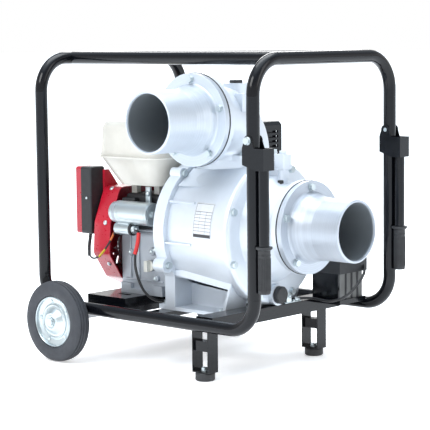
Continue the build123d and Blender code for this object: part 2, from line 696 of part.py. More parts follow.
HEAD_W = 104.0
HEAD_SIDE = (CYL_X - HEAD_W / 2, CYL_X + HEAD_W / 2)
with BuildPart() as cylinder_head:
    for k in range(4):
        with BuildSketch(along_cylinder(158 + 9 * k)):
            RectangleRounded(HEAD_W, 150, 12)
        extrude(amount=3)
    with BuildSketch(along_cylinder(158)):
        RectangleRounded(HEAD_W, 104, 4)
    extrude(amount=34)
    with BuildSketch(along_cylinder(192)):
        RectangleRounded(HEAD_W, 96, 16)
    extrude(amount=26)
save(cylinder_head, "cylinder_head")

with BuildPart() as piston:
    with BuildSketch(along_cylinder(88)):
        Circle(PISTON_R)
    extrude(amount=50)
    with BuildSketch(along_cylinder(88)):
        Circle(PISTON_R - 6)
    extrude(amount=42, mode=Mode.SUBTRACT)
save(piston, "piston")

RECOIL_X = -392.0
with BuildPart() as crankshaft:
    drum_of(-372, 13.9, SHAFT_R, 0, SHAFT_Z)
    drum_of(-372, -350, 30, 0, SHAFT_Z)
    for x0 in (-218, -178):
        with BuildSketch(facing(x0, 0, SHAFT_Z, X_DIR, x_dir=Y_DIR)):
            Circle(34)
            with Locations((0, -24)):
                Circle(38)
        extrude(amount=16)
    drum_of(-218, -162, 18, 0, SHAFT_Z + 20)
save(crankshaft, "crankshaft")

SHROUD_X = (-336.0, -272.0)
with BuildPart() as flywheel:
    drum_of(-306, -276, 88, 0, SHAFT_Z)
    for k in range(12):
        a = math.radians(30 * k)
        out_dir = (0, math.cos(a), math.sin(a))
        place = facing(-327, 60 * math.cos(a), SHAFT_Z + 60 * math.sin(a), X_DIR, x_dir=out_dir)
        with BuildSketch(place):
            Rectangle(52, 4)
        extrude(amount=24)
    drum_of(-327, -303, 30, 0, SHAFT_Z)
    drum_of(-330, -270, SHAFT_R, 0, SHAFT_Z, mode=Mode.SUBTRACT)
save(flywheel, "flywheel")


def shroud_outline(inset):
    """Fan shroud outline in Y and Z: a round bottom, broad shoulders and a narrower top."""
    pts = [
        (-62, 172), (-112, 196), (-156, 262), (-150, 345), (-112, 436), (112, 436), (150, 345),
        (156, 262), (112, 196), (62, 172),
    ]
    with BuildLine() as edge:
        FilletPolyline(*pts, radius=22, close=True)
    with BuildSketch() as area:
        add(edge.line)
        make_face()
        offset(amount=-inset)
    add(area.sketch)


with BuildPart() as fan_shroud:
    with BuildSketch(facing(SHROUD_X[0], 0, 0, X_DIR, x_dir=Y_DIR)):
        shroud_outline(0)
    extrude(amount=SHROUD_X[1] - SHROUD_X[0])
    fillet(fan_shroud.part.faces().sort_by(Axis.X)[0].edges(), 8)
    with BuildSketch(facing(SHROUD_X[0] + 3, 0, 0, X_DIR, x_dir=Y_DIR)):
        shroud_outline(3)
    extrude(amount=100, mode=Mode.SUBTRACT)
    drum_of(SHROUD_X[0] - 1, SHROUD_X[0] + 5, 84, 0, SHAFT_Z, mode=Mode.SUBTRACT)
    # Upright that carries the control box.
    with BuildSketch(facing(-341, 0, 0, X_DIR, x_dir=Y_DIR)):
        Polygon((-108, 345), (-108, 478), (-92, 478), (-56, 432), (-56, 356), align=None)
    extrude(amount=7)
save(fan_shroud, "fan_shroud")

ROPE_X = SHROUD_X[0] - 16
with BuildPart() as recoil_cover:
    turn(
        [
            (0, 90), (0, 100), (-30, 100), (-46, 88), (-56, 62), (-56, 0), (-53, 0), (-53, 60),
            (-43.5, 85), (-28.5, 96.5), (-3, 96.5), (-3, 90),
        ],
        (SHROUD_X[0], 0, SHAFT_Z), X_DIR,
    )
    for k in range(12):
        a = math.radians(30 * k + 15)
        place = facing(RECOIL_X - 1, 46 * math.cos(a), SHAFT_Z + 46 * math.sin(a), X_DIR,
                       x_dir=(0, math.cos(a), math.sin(a)))
        with BuildSketch(place):
            SlotOverall(22, 7)
        extrude(amount=10, mode=Mode.SUBTRACT)
    with BuildSketch(Plane((ROPE_X, 30, SHAFT_Z + 30), x_dir=X_DIR, z_dir=(0, 1, 1))):
        Circle(4.5)
    extrude(amount=90, mode=Mode.SUBTRACT)
save(recoil_cover, "recoil_cover")

GRIP_PULL = Vector(0, 1, 1).normalized()
GRIP_AT = Vector(ROPE_X, 0, SHAFT_Z) + GRIP_PULL * 104
with BuildPart() as recoil_grip:
    with BuildSketch(Plane(GRIP_AT, x_dir=X_DIR, z_dir=GRIP_PULL)):
        RectangleRounded(24, 84, 10)
    extrude(amount=20)
    fillet(recoil_grip.part.edges().filter_by(GeomType.CIRCLE), 4)
    with BuildSketch(Plane(GRIP_AT, x_dir=X_DIR, z_dir=GRIP_PULL)):
        Circle(2.5)
    extrude(amount=-60)
save(recoil_grip, "recoil_grip")

TANK_X = (-342.0, -90.0)
TANK_Y = (-158.0, 118.0)
TANK_SEAM = 517.0
TANK_TOP = 609.0
TANK_LOW = 444.0
tank_mid = ((TANK_X[0] + TANK_X[1]) / 2, (TANK_Y[0] + TANK_Y[1]) / 2)
tank_len = TANK_X[1] - TANK_X[0]
tank_wid = TANK_Y[1] - TANK_Y[0]
CAP_AT = (-190.0, 40.0)
with BuildPart() as fuel_tank:
    with BuildSketch(Plane((*tank_mid, TANK_SEAM))):
        RectangleRounded(tank_len - 20, tank_wid - 20, 42)
    extrude(amount=TANK_TOP - TANK_SEAM, taper=5)
    fillet(fuel_tank.part.faces().sort_by(Axis.Z)[-1].edges(), 24)
    with BuildSketch(Plane((*tank_mid, TANK_SEAM))):
        RectangleRounded(tank_len - 22, tank_wid - 22, 42)
    with BuildSketch(Plane((tank_mid[0] + 12, tank_mid[1], TANK_LOW))):
        RectangleRounded(tank_len - 90, tank_wid - 80, 42)
    loft()
    with BuildSketch(Plane((*tank_mid, TANK_SEAM - 2))):
        RectangleRounded(tank_len, tank_wid, 50)
    extrude(amount=4)
    with BuildSketch(Plane((*CAP_AT, TANK_TOP - 8))):
        Circle(30)
    extrude(amount=12)
    with BuildSketch(Plane((*tank_mid, TANK_SEAM - 60))):
        RectangleRounded(tank_len - 100, tank_wid - 90, 30)
    extrude(amount=140, mode=Mode.SUBTRACT)
    # Straps down to the engine on both sides.
    for x in (-250, -168):
        block(x - 9, x + 9, -82, -66, CASE_TOP, TANK_LOW + 6)
save(fuel_tank, "fuel_tank")

with BuildPart() as fuel_cap:
    turn(
        [(0.3, 0), (0.3, 33), (4, 35), (17, 35), (21, 30), (21, 0)],
        (*CAP_AT, TANK_TOP + 4), Z_DIR,
    )
save(fuel_cap, "fuel_cap")

BOX_X = (-399.7, -378.0, -341.0)
BOX_Y = (-152.5, -100.0)
BOX_Z = (310.0, 487.0)
KEY_AT = (BOX_X[0], -128.0, 372.0)
with BuildPart() as control_box:
    block(BOX_X[1] + 0.2, BOX_X[2], *BOX_Y, *BOX_Z)
    fillet(control_box.part.edges().filter_by(Axis.X), 7)
    fillet(control_box.part.faces().sort_by(Axis.X)[-1].edges(), 4)
save(control_box, "control_box")

with BuildPart() as control_box_cover:
    block(BOX_X[0], BOX_X[1], *BOX_Y, *BOX_Z)
    fillet(control_box_cover.part.edges().filter_by(Axis.X), 7)
    fillet(control_box_cover.part.faces().sort_by(Axis.X)[0].edges(), 5)
    drill(facing(*KEY_AT, (-1, 0, 0)), 12, radius=9)
save(control_box_cover, "control_box_cover")

with BuildPart() as ignition_key:
    turn([(-11, 0), (-11, 8.9), (3, 8.9), (3, 0)], KEY_AT, (-1, 0, 0))
    block(KEY_AT[0] - 17, KEY_AT[0] - 2, KEY_AT[1] - 2, KEY_AT[1] + 2, KEY_AT[2] - 12, KEY_AT[2] + 12)
save(ignition_key, "ignition_key")

STARTER = (-142.5, 375.0)
with BuildPart() as starter_motor:
    turn(
        [
            (-262, 0), (-262, 24), (-258, 27), (-236, 27), (-236, 30), (-126, 30), (-123.5, 27),
            (-123.5, 9), (-119, 9), (-119, 0),
        ],
        (0, *STARTER), X_DIR,
    )
    # Solenoid hung under the motor.
    turn(
        [(-248, 0), (-248, 16), (-190, 16), (-190, 12), (-180, 10), (-180, 0)],
        (0, -146, 333), X_DIR,
    )
    block(-240, -200, -156, -136, 336, 356)
save(starter_motor, "starter_motor")

with BuildPart() as dipstick:
    turn([(8.3, 0), (8.3, 15), (12, 15), (12, 0)], DIPSTICK, (0, -1, 0))
    block(-166, -154, DIPSTICK[1] - 24, DIPSTICK[1] - 11, 224, 252)
    turn([(8.4, 0), (8.4, 8.9), (-12, 8.9), (-12, 0)], DIPSTICK, (0, -1, 0))
save(dipstick, "dipstick")

AIR_X = (-336.0, -232.0)
AIR_Y = (136.0, 236.0)
AIR_Z = (432.0, 532.0)
with BuildPart() as air_cleaner:
    block(*AIR_X, *AIR_Y, *AIR_Z)
    fillet(air_cleaner.part.edges().filter_by(Axis.Z), 16)
    fillet(air_cleaner.part.faces().sort_by(Axis.Z)[-1].edges(), 10)
save(air_cleaner, "air_cleaner")

CARB = (-278.0, 181.0)
CARB_HALF = 23.0
LEVER_Z = 384.0
with BuildPart() as carburettor:
    block(-300, -257, CARB[1] - CARB_HALF, CARB[1] + CARB_HALF, 322, AIR_Z[0])
    drum_of(-257, HEAD_SIDE[0], 14, 174, 340)
    with BuildSketch(Plane((CARB[0], CARB[1], 296))):
        Circle(20)
    extrude(amount=26)
    with BuildSketch(facing(CARB[0], CARB[1] + CARB_HALF, LEVER_Z, Y_DIR)):
        Circle(3)
    extrude(amount=8)
save(carburettor, "carburettor")

with BuildPart() as throttle_lever:
    lever_y = CARB[1] + CARB_HALF + GAP
    with BuildSketch(facing(CARB[0], lever_y, LEVER_Z, Y_DIR, x_dir=X_DIR)):
        Circle(8)
        Polygon((-5, 0), (5, 0), (3.5, -36), (-3.5, -36), align=None)
        Circle(3 + RUN_FIT, mode=Mode.SUBTRACT)
    extrude(amount=3)
    with BuildSketch(facing(CARB[0], lever_y + 3, LEVER_Z + 32, Y_DIR)):
        Circle(6)
    extrude(amount=10)
save(throttle_lever, "throttle_lever")

MUF_X = (-135.0, 12.0)
MUF_Y = (128.0, 206.0)
MUF_Z = (479.0, 601.0)
with BuildPart() as muffler:
    block(MUF_X[0] + 10, MUF_X[1] - 10, MUF_Y[0] + 10, MUF_Y[1] - 10, MUF_Z[0] + 8, MUF_Z[1] - 10)
    fillet(muffler.part.edges().filter_by(Axis.X), 18)
    with BuildLine() as pipe:
        FilletPolyline((HEAD_SIDE[1], 155, 362), (-108, 155, 362), (-108, 155, 492), radius=20)
    with BuildSketch(Plane((HEAD_SIDE[1], 155, 362), z_dir=X_DIR)):
        Circle(14)
    sweep(path=pipe.line)
save(muffler, "muffler")

with BuildPart() as muffler_guard:
    block(*MUF_X, *MUF_Y, *MUF_Z)
    chamfer(muffler_guard.part.faces().sort_by(Axis.Z)[-1].edges().filter_by(Axis.Y), 9)
    block(
        MUF_X[0] + 2, MUF_X[1] - 2, MUF_Y[0] + 2, MUF_Y[1] - 2, MUF_Z[0] - 1, MUF_Z[1] - 9.5,
        mode=Mode.SUBTRACT,
    )
    for k in range(5):
        z = 522 + 12.5 * k
        block(MUF_X[0] - 1, MUF_X[1] + 1, MUF_Y[0] + 14, MUF_Y[1] - 14, z, z + 6, mode=Mode.SUBTRACT)
        for x in (-118, -54):
            block(x, x + 50, MUF_Y[0] - 1, MUF_Y[1] + 1, z, z + 6, mode=Mode.SUBTRACT)
    block(MUF_X[0] + 46, MUF_X[0] + 54, MUF_Y[0], MUF_Y[1], MUF_Z[0], MUF_Z[0] + 8)
    block(MUF_X[1] - 22, MUF_X[1] - 14, MUF_Y[0], MUF_Y[1], MUF_Z[0], MUF_Z[0] + 8)
save(muffler_guard, "muffler_guard")


# ---- Battery ----------------------------------------------------------------------------------
BAT_X = (176.0, 256.0)
BAT_Y = (140.0, 236.0)
BAT_Z = (150.0, 250.0)
with BuildPart() as battery:
    block(*BAT_X, *BAT_Y, *BAT_Z)
    fillet(battery.part.edges().filter_by(Axis.Z), 4)
save(battery, "battery")

with BuildPart() as battery_cover:
    block(BAT_X[0] - 3, BAT_X[1] + 6, BAT_Y[0] - 6, 246, 224, 257)
    block(*BAT_X, *BAT_Y, 220, BAT_Z[1], mode=Mode.SUBTRACT)
save(battery_cover, "battery_cover")

with BuildPart() as battery_tray:
    block(173, 262, BAT_Y[0] - 6, 246, 146, 150)
    block(173, 176, BAT_Y[0] - 6, 240, 150, 224)
    block(176, 256, BAT_Y[0] - 6, BAT_Y[0], 150, 224)
    block(256, 262, BAT_Y[0] - 6, 240, 150, 158)
save(battery_tray, "battery_tray")


# ---- Fasteners --------------------------------------------------------------------------------
with BuildPart() as hex_bolts:
    for y, z in SUCTION_PLACES:
        hex_bolt(facing(SUCTION_FACE, y, z, X_DIR), 30, nut_at=32)
    for x, z in DISCHARGE_PLACES:
        hex_bolt(facing(x, DISCHARGE_FACE, z, (0, -1, 0)), 30, nut_at=32)
    for y, z in COVER_PLACES:
        hex_bolt(facing(COVER_FACE, y, z, X_DIR), 17)
    for y, z in LOBE_PLACES:
        hex_bolt(facing(DRUM_BACK + 14, y, z, X_DIR), 36)
    for y in FOOT_STUD_YS:
        hex_bolt(facing(STUD_X, y, BAR_TOP + 9, Z_DIR), 20)
        hex_bolt(facing(-98.5, y, BAR_TOP + 12, Z_DIR), 22)
    for x, y in NECK_STUDS:
        hex_bolt(facing(x, y, NECK_TOP + 14, Z_DIR), 30)
    for y in FOOT_YS:
        hex_bolt(facing(FOOT_X, y, PAD_H + 3, Z_DIR), 14)
    for side in (-1, 1):
        head = side * (SIDE_Y + PLATE_IN + 3 + GAP)
        hex_bolt(facing(FRONT_X, head, PIVOT_Z, (0, side, 0)), 2 * (PLATE_IN + 3 + GAP))
save(hex_bolts, "hex_bolts")


# ---- Cables -----------------------------------------------------------------------------------
def cord(points, diameter, label):
    """Round cable of straight runs and tangent arcs, each arc as large as its two runs allow."""
    pts = [Vector(*p) for p in points]
    radii = []
    for a, b, c in zip(pts, pts[1:], pts[2:]):
        turn_angle = math.radians((b - a).get_angle(c - b))
        radii.append(0.45 * min((b - a).length, (c - b).length) / math.tan(turn_angle / 2))
    with BuildPart() as cable:
        with BuildLine() as route:
            FilletPolyline(*pts, radius=radii)
        with BuildSketch(Plane(pts[0], z_dir=pts[1] - pts[0])):
            Circle(diameter / 2)
        sweep(path=route.line)
    save(cable, label)
    section = math.pi * diameter ** 2 / 4
    length = sum(edge.length for edge in route.line.edges())
    print(label, "length", round(length), "volume ratio", round(cable.part.volume / section / length, 4))
    print(label, "radii", [round(r) for r in radii])


# Starter lead: from the solenoid down past the platform, under the drum and up to the battery.
cord(
    [
        (-180, -146, 333), (-168, -150, 326), (-164, -155, 302), (-172, -161, 272), (-173, -160, 236),
        (-165, -155, 202), (-153, -147, 172), (-140, -126, 151), (-130, -92, 145), (-112, -56, 142),
        (-72, -22, 140.5), (-20, 2, 140), (32, 22, 140.5), (84, 36, 139), (120, 40, 139), (141, 47, 146.5),
        (153, 65, 157), (156, 84, 159), (165, 104, 159), (181, 117.5, 158.5), (204, 121, 157.5),
        (228, 116.5, 156), (251, 117, 157.5), (270.5, 130, 164), (279, 153, 175), (278, 183, 192),
        (275, 208, 208), (271, 226, 223), (262, 235, 237),
    ],
    7, "starter_cable",
)
# Switch lead: out of the control box, round a low loop and back to the solenoid.
cord(
    [
        (-366, -132, 310), (-367, -134, 292), (-364, -141, 272), (-350, -153, 254), (-324, -164, 247),
        (-296, -169, 256), (-275, -167, 277), (-263, -159, 300), (-258, -150, 320), (-248, -146, 333),
    ],
    5, "control_harness",
)
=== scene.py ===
"""Looks of the wheeled gas engine trash pump: materials, fine detail, cords, light and camera.

Everything is in metres in the frame's axes: +X towards the suction port, -Y the discharge side, +Z up.
"""
import json
import math

import bmesh
import bpy
from mathutils import Matrix, Vector


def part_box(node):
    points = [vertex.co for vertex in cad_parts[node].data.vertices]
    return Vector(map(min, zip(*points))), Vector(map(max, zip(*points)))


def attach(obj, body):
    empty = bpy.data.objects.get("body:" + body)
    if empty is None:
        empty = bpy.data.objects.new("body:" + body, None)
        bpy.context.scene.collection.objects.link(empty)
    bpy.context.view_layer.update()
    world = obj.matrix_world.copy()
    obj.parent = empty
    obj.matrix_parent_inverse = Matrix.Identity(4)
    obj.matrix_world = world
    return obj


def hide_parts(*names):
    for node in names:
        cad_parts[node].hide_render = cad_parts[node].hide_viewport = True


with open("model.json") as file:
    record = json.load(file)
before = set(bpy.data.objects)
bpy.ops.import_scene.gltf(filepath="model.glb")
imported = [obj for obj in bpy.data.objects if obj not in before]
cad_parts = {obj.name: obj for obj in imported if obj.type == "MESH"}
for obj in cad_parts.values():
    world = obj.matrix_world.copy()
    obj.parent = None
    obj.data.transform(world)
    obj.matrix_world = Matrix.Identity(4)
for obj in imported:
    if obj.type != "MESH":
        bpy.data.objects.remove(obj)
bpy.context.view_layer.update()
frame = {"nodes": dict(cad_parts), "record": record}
NODES = frame["nodes"]

X_AXIS = Vector((1, 0, 0))
Y_AXIS = Vector((0, 1, 0))
Z_AXIS = Vector((0, 0, 1))
MM = 0.001


def low(node):
    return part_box(node)[0]


def high(node):
    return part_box(node)[1]


def middle(node):
    a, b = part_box(node)
    return (a + b) / 2


# ---- Materials --------------------------------------------------------------------------------
class Shader:
    """Builds one node material: a Principled surface with grain, colour drift and bump."""

    def __init__(self, name, color, rough, metal=0.0, coat=0.0, coat_rough=0.05):
        self.mat = bpy.data.materials.new(name)
        self.mat.use_nodes = True
        self.mat.diffuse_color = (*color, 1)
        self.tree = self.mat.node_tree
        self.bsdf = self.tree.nodes["Principled BSDF"]
        self.put("Metallic", metal)
        self.put("Roughness", rough)
        self.put("Base Color", (*color, 1))
        self.put("Coat Weight", coat)
        self.put("Coat Roughness", coat_rough)
        self.color = color
        self.rough = rough
        self.coords = self.tree.nodes.new("ShaderNodeTexCoord").outputs["Object"]
        self.normal = None

    def put(self, socket, value):
        self.bsdf.inputs[socket].default_value = value

    def node(self, kind, **inputs):
        n = self.tree.nodes.new(kind)
        for key, value in inputs.items():
            n.inputs[key.replace("_", " ")].default_value = value
        return n

    def link(self, a, b):
        self.tree.links.new(a, b)

    def noise(self, scale, detail=3.0, vector=None, rough=0.55):
        n = self.node("ShaderNodeTexNoise", Scale=scale, Detail=detail, Roughness=rough)
        self.link(vector if vector else self.coords, n.inputs["Vector"])
        return n.outputs["Fac"]

    def ramp(self, fac, stops):
        n = self.tree.nodes.new("ShaderNodeValToRGB")
        band = n.color_ramp
        while len(band.elements) < len(stops):
            band.elements.new(0.5)
        for element, (at, color) in zip(band.elements, stops):
            element.position = at
            element.color = (*color, 1)
        self.link(fac, n.inputs["Fac"])
        return n.outputs["Color"]

    def drift(self, scale, amount, vector=None):
        """Colour wanders a little either side of its mean."""
        fac = self.noise(scale, 4, vector)
        dark = tuple(c * (1 - amount) for c in self.color)
        light = tuple(min(1, c * (1 + amount)) for c in self.color)
        self.link(self.ramp(fac, [(0.3, dark), (0.7, light)]), self.bsdf.inputs["Base Color"])

    def gloss_drift(self, scale, spread, vector=None):
        fac = self.noise(scale, 4, vector)
        n = self.tree.nodes.new("ShaderNodeMapRange")
        n.inputs["From Min"].default_value = 0.3
        n.inputs["From Max"].default_value = 0.7
        n.inputs["To Min"].default_value = self.rough - spread
        n.inputs["To Max"].default_value = self.rough + spread
        self.link(fac, n.inputs["Value"])
        self.link(n.outputs["Result"], self.bsdf.inputs["Roughness"])

    def bump(self, height, strength, distance):
        n = self.node("ShaderNodeBump", Strength=strength, Distance=distance)
        self.link(height, n.inputs["Height"])
        if self.normal:
            self.link(self.normal, n.inputs["Normal"])
        self.normal = n.outputs["Normal"]
        self.link(self.normal, self.bsdf.inputs["Normal"])

    def grain(self, scale, strength, distance, detail=3.0, vector=None):
        self.bump(self.noise(scale, detail, vector), strength, distance)

    def soft_edges(self, radius):
        n = self.tree.nodes.new("ShaderNodeBevel")
        n.samples = 4
        n.inputs["Radius"].default_value = radius
        self.normal = n.outputs["Normal"]
        self.link(self.normal, self.bsdf.inputs["Normal"])

    def lathe_coords(self, centre, along):
        """(distance along the axis, radius) as texture coordinates, for turning marks."""
        shift = self.node("ShaderNodeVectorMath")
        shift.operation = "SUBTRACT"
        shift.inputs[1].default_value = centre
        self.link(self.coords, shift.inputs[0])
        dot = self.node("ShaderNodeVectorMath")
        dot.operation = "DOT_PRODUCT"
        dot.inputs[1].default_value = along
        self.link(shift.outputs["Vector"], dot.inputs[0])
        cross = self.node("ShaderNodeVectorMath")
        cross.operation = "CROSS_PRODUCT"
        cross.inputs[1].default_value = along
        self.link(shift.outputs["Vector"], cross.inputs[0])
        length = self.node("ShaderNodeVectorMath")
        length.operation = "LENGTH"
        self.link(cross.outputs["Vector"], length.inputs[0])
        join = self.tree.nodes.new("ShaderNodeCombineXYZ")
        self.link(dot.outputs["Value"], join.inputs["X"])
        self.link(length.outputs["Value"], join.inputs["Y"])
        return join.outputs["Vector"]


def casting(name, color, rough, metal, grain):
    s = Shader(name, color, rough, metal)
    s.soft_edges(1.4 * MM)
    s.drift(16, 0.035)
    s.gloss_drift(60, 0.05)
    s.grain(850, grain, 0.5 * MM, 2)
    s.grain(45, 0.10, 1.2 * MM, 2)
    return s.mat


# Painted shade: inside this radius of a turned tail the colour is darkened to stand in for the shade in the
# bore.
BORE_SHADE_COLOR = (0.25, 0.275, 0.295)
SHADED_BORE_RADIUS = 69.6 * MM


def turned(name, color, centre, along):
    """Lathe-turned aluminium with fine rings around the axis, and painted shade: a flat darker colour inside
    the bore.
    """
    s = Shader(name, color, 0.42, 0.55)
    s.soft_edges(0.8 * MM)
    rings = s.lathe_coords(centre, along)
    dark, light = (tuple(c * share for c in color) for share in (0.91, 1.09))
    outer = s.ramp(s.noise(420, 4, rings), [(0.3, dark), (0.7, light)])
    split = s.tree.nodes.new("ShaderNodeSeparateXYZ")
    s.link(rings, split.inputs["Vector"])
    # Painted shade: this mask picks the bore, which takes the darker shade colour in place of the turned
    # rings.
    bore_shade_mask = s.node("ShaderNodeMath")
    bore_shade_mask.operation = "LESS_THAN"
    bore_shade_mask.inputs[1].default_value = SHADED_BORE_RADIUS
    s.link(split.outputs["Y"], bore_shade_mask.inputs[0])
    bore_shade_mix = s.tree.nodes.new("ShaderNodeMix")
    bore_shade_mix.data_type = "RGBA"
    for socket in bore_shade_mix.inputs:
        if socket.type == "RGBA" and socket.name == "A":
            s.link(outer, socket)
        if socket.type == "RGBA" and socket.name == "B":
            socket.default_value = (*BORE_SHADE_COLOR, 1)
    s.link(bore_shade_mask.outputs["Value"], bore_shade_mix.inputs["Factor"])
    for socket in bore_shade_mix.outputs:
        if socket.type == "RGBA":
            s.link(socket, s.bsdf.inputs["Base Color"])
    s.gloss_drift(230, 0.06, rings)
    s.grain(900, 0.25, 0.25 * MM, 2, rings)
    s.grain(90, 0.10, 0.6 * MM, 1, rings)
    return s.mat


def paint(name, color, rough=0.22, coat=0.6, peel=0.05, specular=0.5):
    s = Shader(name, color, rough, coat=coat, coat_rough=0.09)
    s.put("Specular IOR Level", specular)
    s.soft_edges(0.9 * MM)
    s.drift(22, 0.05)
    s.gloss_drift(130, 0.04)
    s.grain(260, peel, 0.4 * MM, 1)
    return s.mat


def plastic(name, color, rough=0.5, grain=0.22, size=1500):
    s = Shader(name, color, rough)
    s.soft_edges(0.8 * MM)
    s.drift(40, 0.08)
    s.gloss_drift(90, 0.05)
    s.grain(size, grain, 0.3 * MM, 1)
    return s.mat


def rubber(name, color, rough=0.62):
    s = Shader(name, color, rough)
    s.drift(30, 0.14)
    s.gloss_drift(55, 0.08)
    s.grain(700, 0.20, 0.3 * MM, 3)
    return s.mat


def metal(name, color, rough=0.3, spread=0.04, tint=0.035):
    s = Shader(name, color, rough, 0.85)
    s.soft_edges(0.5 * MM)
    s.drift(20, tint)
    s.gloss_drift(30, spread)
    s.grain(420, 0.05, 0.08 * MM, 1)
    return s.mat


SUCTION_AXIS = (0, 0, 0.357)
DISCHARGE_AXIS = (0.0365, 0, 0.621)
MATS = {
    "frame_black": paint("gloss_black_powder", (0.003, 0.0035, 0.005), 0.16, 0.22, 0.04, 0.16),
    "cast_silver": casting("silver_casting", (0.62, 0.67, 0.73), 0.40, 0.40, 0.16),
    "crankcase_grey": casting("raw_casting", (0.40, 0.43, 0.47), 0.46, 0.65, 0.45),
    "zinc": metal("bright_zinc", (0.52, 0.58, 0.60), 0.32),
    "steel": metal("machined_steel", (0.42, 0.43, 0.45), 0.34),
    "tyre_rubber": rubber("tyre_rubber", (0.030, 0.033, 0.040), 0.66),
    "black_rubber": rubber("moulded_rubber", (0.018, 0.019, 0.021), 0.55),
    "red_paint": paint("red_enamel", (0.42, 0.006, 0.022), 0.30, 0.35, 0.02),
    "tank_white": paint("warm_white_enamel", (0.52, 0.505, 0.46), 0.22, 0.4, 0.015),
    "black_plastic": plastic("black_plastic", (0.012, 0.013, 0.015), 0.5),
    "cable_black": rubber("cable_sheath", (0.012, 0.012, 0.013), 0.42),
    "battery_grey": plastic("battery_case", (0.11, 0.112, 0.11), 0.48),
}
SUCTION_MAT = turned("turned_suction", (0.45, 0.49, 0.545), SUCTION_AXIS, (1, 0, 0))
DISCHARGE_MAT = turned("turned_discharge", (0.54, 0.59, 0.65), DISCHARGE_AXIS, (0, 1, 0))
RED_RUBBER = rubber("red_boot_rubber", (0.55, 0.02, 0.02), 0.45)
ORANGE = plastic("orange_sleeve", (0.50, 0.12, 0.02), 0.4)
YELLOW = plastic("yellow_plastic", (0.55, 0.40, 0.03), 0.4)
PALE_PLASTIC = plastic("pale_plastic", (0.62, 0.62, 0.57), 0.38, 0.05)
LABEL_WHITE = plastic("label_film", (0.60, 0.62, 0.65), 0.35, 0.05)
LABEL_GREY = plastic("label_grid_print", (0.10, 0.105, 0.115), 0.4, 0.05)
LABEL_DARK = plastic("label_print", (0.03, 0.03, 0.035), 0.4, 0.05)

NODE_SLOT = {s["node"]: s["material_slot"] for s in frame["record"]["subparts"]}
for node_name, node_object in NODES.items():
    node_object.data.materials.clear()
    slot_name = NODE_SLOT[node_name]
    surface = MATS.get(slot_name)
    if node_name == "suction_tail":
        surface = SUCTION_MAT
    if node_name == "discharge_tail":
        surface = DISCHARGE_MAT
    if node_name == "dipstick":
        surface = PALE_PLASTIC
    node_object.data.materials.append(surface)


# ---- Piece makers -----------------------------------------------------------------------------
def settle(obj, mat, body):
    """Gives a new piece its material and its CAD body."""
    obj.data.materials.append(mat)
    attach(obj, body)
    return obj


def mesh_object(name, verts, faces, smooth=True):
    data = bpy.data.meshes.new(name)
    data.from_pydata([tuple(v) for v in verts], [], faces)
    data.validate()
    bm = bmesh.new()
    bm.from_mesh(data)
    bmesh.ops.recalc_face_normals(bm, faces=bm.faces)
    bm.to_mesh(data)
    bm.free()
    for p in data.polygons:
        p.use_smooth = smooth
    if smooth:
        data.set_sharp_from_angle(angle=math.radians(38))
    obj = bpy.data.objects.new(name, data)
    bpy.context.scene.collection.objects.link(obj)
    return obj


def basis(along):
    along = Vector(along).normalized()
    side = along.cross(Z_AXIS) if abs(along.z) < 0.9 else along.cross(X_AXIS)
    side.normalize()
    return along, side, along.cross(side)


def lathe(name, profile, centre, along, steps=72):
    """A closed ring or solid turned from (distance along the axis, radius) points in mm."""
    along, side, up = basis(along)
    centre = Vector(centre)
    verts = []
    for k in range(steps):
        a = math.tau * k / steps
        out = side * math.cos(a) + up * math.sin(a)
        verts += [centre + along * (d * MM) + out * (r * MM) for d, r in profile]
    n = len(profile)
    faces = []
    for k in range(steps):
        j = (k + 1) % steps
        for i in range(n):
            m = (i + 1) % n
            faces.append((k * n + i, k * n + m, j * n + m, j * n + i))
    obj = mesh_object(name, verts, faces)
    weld(obj)
    return obj


def weld(obj):
    bm = bmesh.new()
    bm.from_mesh(obj.data)
    bmesh.ops.remove_doubles(bm, verts=bm.verts, dist=1e-6)
    bmesh.ops.dissolve_degenerate(bm, edges=bm.edges, dist=1e-7)
    bmesh.ops.recalc_face_normals(bm, faces=bm.faces)
    bm.to_mesh(obj.data)
    bm.free()


def soft_box(name, lo, hi, radius, segments=3):
    """A block between two corners, in mm, with rounded edges."""
    bm = bmesh.new()
    bmesh.ops.create_cube(bm, size=1)
    size = [(b - a) * MM for a, b in zip(lo, hi)]
    mid = [(a + b) / 2 * MM for a, b in zip(lo, hi)]
    bmesh.ops.scale(bm, vec=size, verts=bm.verts)
    bmesh.ops.translate(bm, vec=mid, verts=bm.verts)
    bmesh.ops.bevel(
        bm, geom=list(bm.edges), offset=radius * MM, segments=segments, affect="EDGES", profile=0.5,
    )
    data = bpy.data.meshes.new(name)
    bm.to_mesh(data)
    bm.free()
    for p in data.polygons:
        p.use_smooth = True
    data.set_sharp_from_angle(angle=math.radians(38))
    obj = bpy.data.objects.new(name, data)
    bpy.context.scene.collection.objects.link(obj)
    return obj


def join(name, parts):
    """Several loose shells as one piece."""
    bm = bmesh.new()
    for part in parts:
        bm.from_mesh(part.data)
    data = bpy.data.meshes.new(name)
    bm.to_mesh(data)
    bm.free()
    for p in data.polygons:
        p.use_smooth = True
    data.set_sharp_from_angle(angle=math.radians(38))
    for part in parts:
        bpy.data.objects.remove(part)
    obj = bpy.data.objects.new(name, data)
    bpy.context.scene.collection.objects.link(obj)
    return obj


def line(name, points, diameter):
    """A smooth cord on the control points given in mm."""
    data = bpy.data.curves.new(name, "CURVE")
    data.dimensions = "3D"
    data.bevel_depth = diameter / 2 * MM
    data.bevel_resolution = 5
    data.resolution_u = 10
    data.use_fill_caps = True
    spline = data.splines.new("NURBS")
    spline.points.add(len(points) - 1)
    for point, p in zip(spline.points, points):
        point.co = (p[0] * MM, p[1] * MM, p[2] * MM, 1)
    spline.order_u = 3
    spline.use_endpoint_u = True
    obj = bpy.data.objects.new(name, data)
    bpy.context.scene.collection.objects.link(obj)
    return obj


